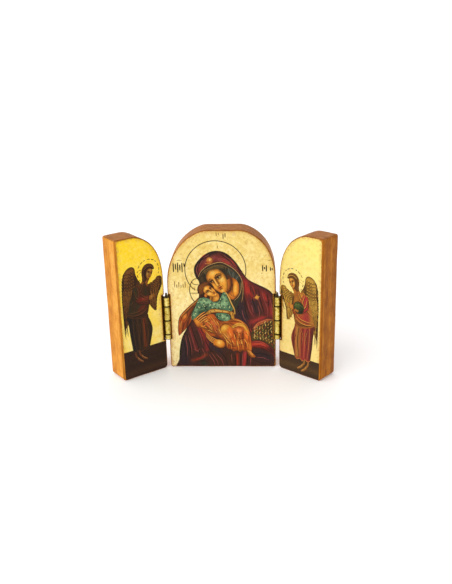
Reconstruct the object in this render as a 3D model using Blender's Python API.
"""A small wooden triptych: an arched centre board and two half-arched wings on brass hinges.

Metres, +Z up. The painted fronts look towards -Y. The origin is the middle of the centre board's
underside. The wings stand open, each turned forward from the centre board's plane.
Left and right are as seen from the front.
"""

import math

import bmesh
import bpy
from mathutils import Vector

MM = 0.001

# Boards
BOARD_HEIGHT = 90.0 * MM
BOARD_THICKNESS = 15.0 * MM
CENTRE_WIDTH = 66.6 * MM
CLOSED_GAP = 2.6 * MM  # between the wings' outer edges once they are folded shut
ARCH_SPRING = 55.0 * MM  # height at which the straight sides start to curve in
CROWN_CUT = 1.5 * MM  # planed off the top of the arch, which leaves a short flat
CROWN_EASE = 0.25 * MM  # softens the turn from the arch into that flat
CENTRE_FULLNESS = (2.12, 2.5)  # left and right haunch; 2 is an ellipse, more is squarer
WING_FULLNESS = 2.7
ARCH_STEPS = 26
CENTRE_CORNER = 1.6 * MM
WING_CORNER = 2.4 * MM
TOP_CORNER = 1.3 * MM
CORNER_STEPS = 4
RIM_RADIUS = 0.9 * MM
RIM_STEPS = 2

# Hinges
OPENING = math.radians(39.0)  # how far each wing is turned forward of the centre board's plane
BOARD_GAP = 1.5 * MM  # between neighbouring boards when all three are in one plane
AXIS_FORWARD = 0.5 * MM  # the hinge axis stands this far in front of the painted faces
HINGE_FOOT = 19.8 * MM  # height of the barrel's lower end
KNUCKLES = (("wing", 3.2 * MM), ("centre", 8.9 * MM), ("wing", 8.9 * MM), ("centre", 5.9 * MM))
KNUCKLE_GAP = 0.4 * MM
BARREL_RADIUS = 1.8 * MM
BARREL_STEPS = 20
PIN_RADIUS = 0.75 * MM
PIN_CLEARANCE = 0.1 * MM
PIN_STEPS = 16
PIN_ABOVE = 2.8 * MM  # the pin's tapered end stands out of the barrel
PIN_TAPER = 2.0 * MM
PIN_TIP_RADIUS = 0.45 * MM
PIN_BELOW = 0.3 * MM
PIN_CHAMFER = 0.2 * MM
LEAF_THICKNESS = 0.6 * MM
LEAF_GAP = 0.5 * MM  # between the two leaves when the boards are in one plane
LEAF_WIDTH = 10.5 * MM  # from the hinge axis to the leaf's far edge
LEAF_CLEARANCE = 0.35 * MM  # between a leaf and the other leaf's knuckles
LEAF_CORNER = 0.8 * MM
TAB_START = 1.25 * MM  # a knuckle's tab starts inside the barrel's wall, clear of its bore
TAB_INSET = 0.06 * MM  # a tab is this much shorter than its knuckle at either end
SEAT_CLEARANCE = 0.1 * MM
CENTRE_NOTCH = 1.6 * MM  # width of the cut-out beside the barrel, in from the board's edge
WING_NOTCH = 2.4 * MM
NOTCH_DEPTH = 1.8 * MM
NOTCH_ABOVE = 1.6 * MM
NOTCH_BELOW = 0.5 * MM

# Nails that hold the leaves
NAIL_SPREAD = 17.0 * MM  # between a leaf's two nails
NAIL_FROM_AXIS = 6.4 * MM
NAIL_RADIUS = 0.55 * MM
NAIL_HEAD_RADIUS = 1.3 * MM
NAIL_HEAD_DEPTH = 0.45 * MM
NAIL_LENGTH = 6.0 * MM
NAIL_CLEARANCE = 0.1 * MM
NAIL_STEPS = 12

OVERCUT = 1.0 * MM  # cutters run this far past the wood

# What the sizes above give
HALF_WIDTH = CENTRE_WIDTH / 2
WING_WIDTH = HALF_WIDTH - CLOSED_GAP / 2
FRONT = -BOARD_THICKNESS / 2
AXIS_X = HALF_WIDTH + BOARD_GAP / 2
AXIS_Y = FRONT - AXIS_FORWARD
HINGE_LENGTH = sum(length for _, length in KNUCKLES) + KNUCKLE_GAP * (len(KNUCKLES) - 1)
HINGE_TOP = HINGE_FOOT + HINGE_LENGTH
LEAF_START = BARREL_RADIUS + LEAF_CLEARANCE
LEAF_BACK = LEAF_GAP / 2 + LEAF_THICKNESS  # from the hinge's middle plane to the leaf's hidden face

WOOD = ("stained_wood", (0.60, 0.29, 0.09), 0.5, 0.0)
BRASS = ("hinge_brass", (0.78, 0.66, 0.30), 0.35, 1.0)
STEEL = ("pin_steel", (0.20, 0.17, 0.14), 0.5, 1.0)


def clear_scene():
    for obj in list(bpy.data.objects):
        bpy.data.objects.remove(obj, do_unlink=True)


def material(name, colour, roughness, metallic):
    """One Principled material; each object gets its own."""
    mat = bpy.data.materials.new(name)
    mat.use_nodes = True
    shader = mat.node_tree.nodes["Principled BSDF"]
    shader.inputs["Base Color"].default_value = (*colour, 1.0)
    shader.inputs["Roughness"].default_value = roughness
    shader.inputs["Metallic"].default_value = metallic
    mat.diffuse_color = (*colour, 1.0)
    return mat


def new_object(name, bm, parent=None, finish=None):
    """Turns a bmesh into a linked object. With no finish it is a cutter, which isn't rendered."""
    bmesh.ops.recalc_face_normals(bm, faces=bm.faces)
    mesh = bpy.data.meshes.new(name)
    bm.to_mesh(mesh)
    bm.free()
    obj = bpy.data.objects.new(name, mesh)
    bpy.context.scene.collection.objects.link(obj)
    obj.parent = parent
    if finish is None:
        obj.hide_render = True
        obj.display_type = "WIRE"
    else:
        mesh.materials.append(material(*finish))
    return obj


def boolean(obj, other, operation="DIFFERENCE"):
    modifier = obj.modifiers.new(f"{operation.lower()}_{other.name}", "BOOLEAN")
    modifier.object = other
    modifier.operation = operation


def smooth(obj):
    obj.data.shade_smooth()
    obj.data.set_sharp_from_angle(angle=math.radians(35))


def prism(outline, axis_point, along):
    """A solid bmesh: outline is a ring of 3-D points, pushed along the vector."""
    bm = bmesh.new()
    ring = [bm.verts.new(axis_point + Vector(point)) for point in outline]
    face = bm.faces.new(ring)
    pushed = bmesh.ops.extrude_face_region(bm, geom=[face])["geom"]
    bmesh.ops.translate(bm, vec=along, verts=[g for g in pushed if isinstance(g, bmesh.types.BMVert)])
    return bm


def block(low, high):
    """An upright box between two corners, given in any order."""
    (x0, y0, z0), (x1, y1, z1) = low, high
    ring = [(x0, y0, z0), (x1, y0, z0), (x1, y1, z0), (x0, y1, z0)]
    return prism(ring, Vector(), Vector((0, 0, z1 - z0)))


def turned(profile, steps, place, direction, ring=False):
    """A solid of revolution about the direction through place. The profile is (radius, distance) pairs.
    It starts and ends on the axis, or, for a ring, closes on itself."""
    bm = bmesh.new()
    verts = [bm.verts.new((radius, 0, distance)) for radius, distance in profile]
    edges = [bm.edges.new(pair) for pair in zip(verts, verts[1:])]
    if ring:
        edges.append(bm.edges.new((verts[-1], verts[0])))
    bmesh.ops.spin(
        bm, geom=verts + edges, cent=(0, 0, 0), axis=(0, 0, 1), angle=2 * math.pi, steps=steps,
        use_merge=True,
    )
    bmesh.ops.remove_doubles(bm, verts=bm.verts, dist=0.001 * MM)
    turn = Vector((0, 0, 1)).rotation_difference(direction).to_matrix().to_4x4()
    bmesh.ops.transform(bm, matrix=turn, verts=bm.verts)
    bmesh.ops.translate(bm, vec=place, verts=bm.verts)
    return bm


def corner(x, z, radius, start):
    """Points of a rounded corner, a quarter turn from the start angle about its own centre."""
    angles = [start + math.pi / 2 * step / CORNER_STEPS for step in range(CORNER_STEPS + 1)]
    return [(x + radius * math.cos(angle), z + radius * math.sin(angle)) for angle in angles]


def half_arch(fullness):
    """The arched top as (distance in from the side, height), from the spring to the middle."""
    rise = BOARD_HEIGHT + CROWN_CUT - ARCH_SPRING
    points = []
    for step in range(ARCH_STEPS + 1):
        angle = math.pi / 2 * step / ARCH_STEPS
        across = HALF_WIDTH * max(math.cos(angle), 0.0) ** (2 / fullness)
        height = ARCH_SPRING + rise * math.sin(angle) ** (2 / fullness)
        planed = BOARD_HEIGHT - CROWN_EASE * math.log1p(math.exp((BOARD_HEIGHT - height) / CROWN_EASE))
        points.append((HALF_WIDTH - across, planed))
    return points


def centre_outline():
    """Anticlockwise from the lower left, as seen from the front."""
    inset = HALF_WIDTH - CENTRE_CORNER
    points = corner(-inset, CENTRE_CORNER, CENTRE_CORNER, math.pi)
    points += corner(inset, CENTRE_CORNER, CENTRE_CORNER, 1.5 * math.pi)
    left, right = (half_arch(fullness) for fullness in CENTRE_FULLNESS)
    points += [(HALF_WIDTH - inward, height) for inward, height in right]
    points += [(inward - HALF_WIDTH, height) for inward, height in reversed(left[:-1])]
    return points


def wing_outline():
    """A right wing's outline, outwards from the hinge axis. It is lowest beside the hinge."""
    near = BOARD_GAP / 2
    far = near + WING_WIDTH
    points = corner(near + WING_CORNER, WING_CORNER, WING_CORNER, math.pi)
    points += corner(far - WING_CORNER, WING_CORNER, WING_CORNER, 1.5 * math.pi)
    points += corner(far - TOP_CORNER, BOARD_HEIGHT - TOP_CORNER, TOP_CORNER, 0.0)
    points += [
        (near + inward, height)
        for inward, height in reversed(half_arch(WING_FULLNESS))
        if inward < WING_WIDTH - TOP_CORNER - RIM_RADIUS
    ]
    return points


def board(name, outline, side, front, parent=None):
    """A board with softened rims. side is -1 to mirror the outline left to right."""
    ring = [(side * x, front, z) for x, z in outline]
    bm = prism(ring, Vector(), Vector((0, BOARD_THICKNESS, 0)))
    obj = new_object(name, bm, parent, WOOD)
    rim = obj.modifiers.new("rim", "BEVEL")
    rim.width = RIM_RADIUS
    rim.segments = RIM_STEPS
    rim.limit_method = "ANGLE"
    rim.angle_limit = math.radians(50)
    smooth(obj)
    return obj


def knuckle_spans(owner):
    """(low, high) of each of the owner's knuckles, from the bottom up."""
    spans = []
    low = HINGE_FOOT
    for name, length in KNUCKLES:
        if name == owner:
            spans.append((low, low + length))
        low += length + KNUCKLE_GAP
    return spans


def nail_heights():
    middle = (HINGE_FOOT + HINGE_TOP) / 2
    return [middle - NAIL_SPREAD / 2, middle + NAIL_SPREAD / 2]


def seat_hinge(wood, name, notch_width, side, axis, parent=None):
    """Cuts the notch for the barrel, the shallow seat of the leaf and the nail holes into a board's edge.
    side is the way from the hinge's middle plane into the wood, and axis the hinge axis."""
    edge = BOARD_GAP / 2
    front = axis[1] + AXIS_FORWARD

    def cut(label, bm):
        boolean(wood, new_object(f"{name}_{label}_cutter", bm, parent))

    cut(
        "notch",
        block(
            (axis[0] + side * (edge - OVERCUT), front - OVERCUT, HINGE_FOOT - NOTCH_BELOW),
            (axis[0] + side * (edge + notch_width), front + NOTCH_DEPTH, HINGE_TOP + NOTCH_ABOVE),
        ),
    )
    cut(
        "seat",
        block(
            (axis[0] + side * (edge - OVERCUT), front + NOTCH_DEPTH / 2, HINGE_FOOT - SEAT_CLEARANCE),
            (
                axis[0] + side * (LEAF_BACK + SEAT_CLEARANCE),
                axis[1] + LEAF_WIDTH + SEAT_CLEARANCE,
                HINGE_TOP + SEAT_CLEARANCE,
            ),
        ),
    )
    depth = NAIL_LENGTH + LEAF_GAP / 2 + NAIL_CLEARANCE
    radius = NAIL_RADIUS + NAIL_CLEARANCE
    for number, height in enumerate(nail_heights(), 1):
        place = Vector((axis[0], axis[1] + NAIL_FROM_AXIS, height))
        hole = turned(
            [(0, 0), (radius, 0), (radius, depth), (0, depth)], NAIL_STEPS, place, Vector((side, 0, 0))
        )
        cut(f"hole_{number}", hole)


def leaf(name, owner, side, axis, parent=None):
    """A hinge leaf with its rolled knuckles. side is the way from the hinge's middle plane to its board."""
    spans = knuckle_spans(owner)
    inner = axis[1] + LEAF_START
    outer = axis[1] + LEAF_WIDTH
    foot = HINGE_FOOT + TAB_INSET
    top = HINGE_TOP - TAB_INSET
    ring = corner(outer - LEAF_CORNER, foot + LEAF_CORNER, LEAF_CORNER, 1.5 * math.pi)
    ring += corner(outer - LEAF_CORNER, top - LEAF_CORNER, LEAF_CORNER, 0.0)
    if spans[-1][1] < HINGE_TOP - KNUCKLE_GAP:
        ring.append((inner, top))
    for low, high in reversed(spans):
        if high < HINGE_TOP - KNUCKLE_GAP:
            ring.append((inner, high - TAB_INSET))
        ring.append((axis[1] + TAB_START, high - TAB_INSET))
        ring.append((axis[1] + TAB_START, low + TAB_INSET))
        if low > HINGE_FOOT + KNUCKLE_GAP:
            ring.append((inner, low + TAB_INSET))
    if spans[0][0] > HINGE_FOOT + KNUCKLE_GAP:
        ring.append((inner, foot))
    start = axis[0] + side * LEAF_GAP / 2
    plate = prism([(start, y, z) for y, z in ring], Vector(), Vector((side * LEAF_THICKNESS, 0, 0)))
    obj = new_object(name, plate, parent, BRASS)
    bore = PIN_RADIUS + PIN_CLEARANCE
    for number, (low, high) in enumerate(spans, 1):
        tube = [(bore, 0), (BARREL_RADIUS, 0), (BARREL_RADIUS, high - low), (bore, high - low)]
        barrel = turned(tube, BARREL_STEPS, Vector((*axis, low)), Vector((0, 0, 1)), ring=True)
        boolean(obj, new_object(f"{name}_barrel_{number}", barrel, parent), "UNION")
    shank = NAIL_RADIUS + NAIL_CLEARANCE
    head = NAIL_HEAD_RADIUS + NAIL_CLEARANCE
    flare = head + (head - shank) * OVERCUT / NAIL_HEAD_DEPTH
    through = OVERCUT + LEAF_THICKNESS + OVERCUT
    for number, height in enumerate(nail_heights(), 1):
        place = Vector((start - side * OVERCUT, axis[1] + NAIL_FROM_AXIS, height))
        sunk = turned(
            [(0, 0), (flare, 0), (shank, OVERCUT + NAIL_HEAD_DEPTH), (shank, through), (0, through)],
            NAIL_STEPS, place, Vector((side, 0, 0)),
        )
        boolean(obj, new_object(f"{name}_nail_cutter_{number}", sunk, parent))
    smooth(obj)
    return obj


def nails(name, side, axis, parent=None):
    """Countersunk nails, flush with the leaf's open face."""
    for number, height in enumerate(nail_heights(), 1):
        place = Vector((axis[0] + side * LEAF_GAP / 2, axis[1] + NAIL_FROM_AXIS, height))
        profile = [
            (0, 0),
            (NAIL_HEAD_RADIUS, 0),
            (NAIL_RADIUS, NAIL_HEAD_DEPTH),
            (NAIL_RADIUS, NAIL_LENGTH - NAIL_RADIUS),
            (0, NAIL_LENGTH),
        ]
        bm = turned(profile, NAIL_STEPS, place, Vector((side, 0, 0)))
        smooth(new_object(f"{name}_{number}", bm, parent, BRASS))


def pin(name, axis):
    low = HINGE_FOOT - PIN_BELOW
    length = PIN_BELOW + HINGE_LENGTH + PIN_ABOVE
    profile = [
        (0, 0),
        (PIN_RADIUS - PIN_CHAMFER, 0),
        (PIN_RADIUS, PIN_CHAMFER),
        (PIN_RADIUS, length - PIN_TAPER),
        (PIN_TIP_RADIUS, length - PIN_CHAMFER),
        (PIN_TIP_RADIUS - PIN_CHAMFER, length),
        (0, length),
    ]
    bm = turned(profile, PIN_STEPS, Vector((*axis, low)), Vector((0, 0, 1)))
    smooth(new_object(name, bm, None, STEEL))


def wing(name, side, centre_board):
    """One wing with its hinge. The wing's pieces hang on an empty on the hinge axis."""
    axis = (side * AXIS_X, AXIS_Y)
    hinge = f"{name}_hinge"
    pivot = bpy.data.objects.new(f"{name}_wing", None)
    bpy.context.scene.collection.objects.link(pivot)
    pivot.location = (*axis, 0)
    pivot.rotation_euler = (0, 0, -side * OPENING)
    own_axis = (0.0, 0.0)
    wood = board(f"{name}_wing_board", wing_outline(), side, AXIS_FORWARD, pivot)
    seat_hinge(wood, f"{hinge}_wing", WING_NOTCH, side, own_axis, pivot)
    leaf(f"{hinge}_wing_leaf", "wing", side, own_axis, pivot)
    nails(f"{hinge}_wing_nail", side, own_axis, pivot)
    seat_hinge(centre_board, f"{hinge}_centre", CENTRE_NOTCH, -side, axis)
    leaf(f"{hinge}_centre_leaf", "centre", -side, axis)
    nails(f"{hinge}_centre_nail", -side, axis)
    pin(f"{hinge}_pin", axis)


def main():
    clear_scene()
    centre_board = board("centre_board", centre_outline(), 1, FRONT)
    wing("left", -1, centre_board)
    wing("right", 1, centre_board)


main()
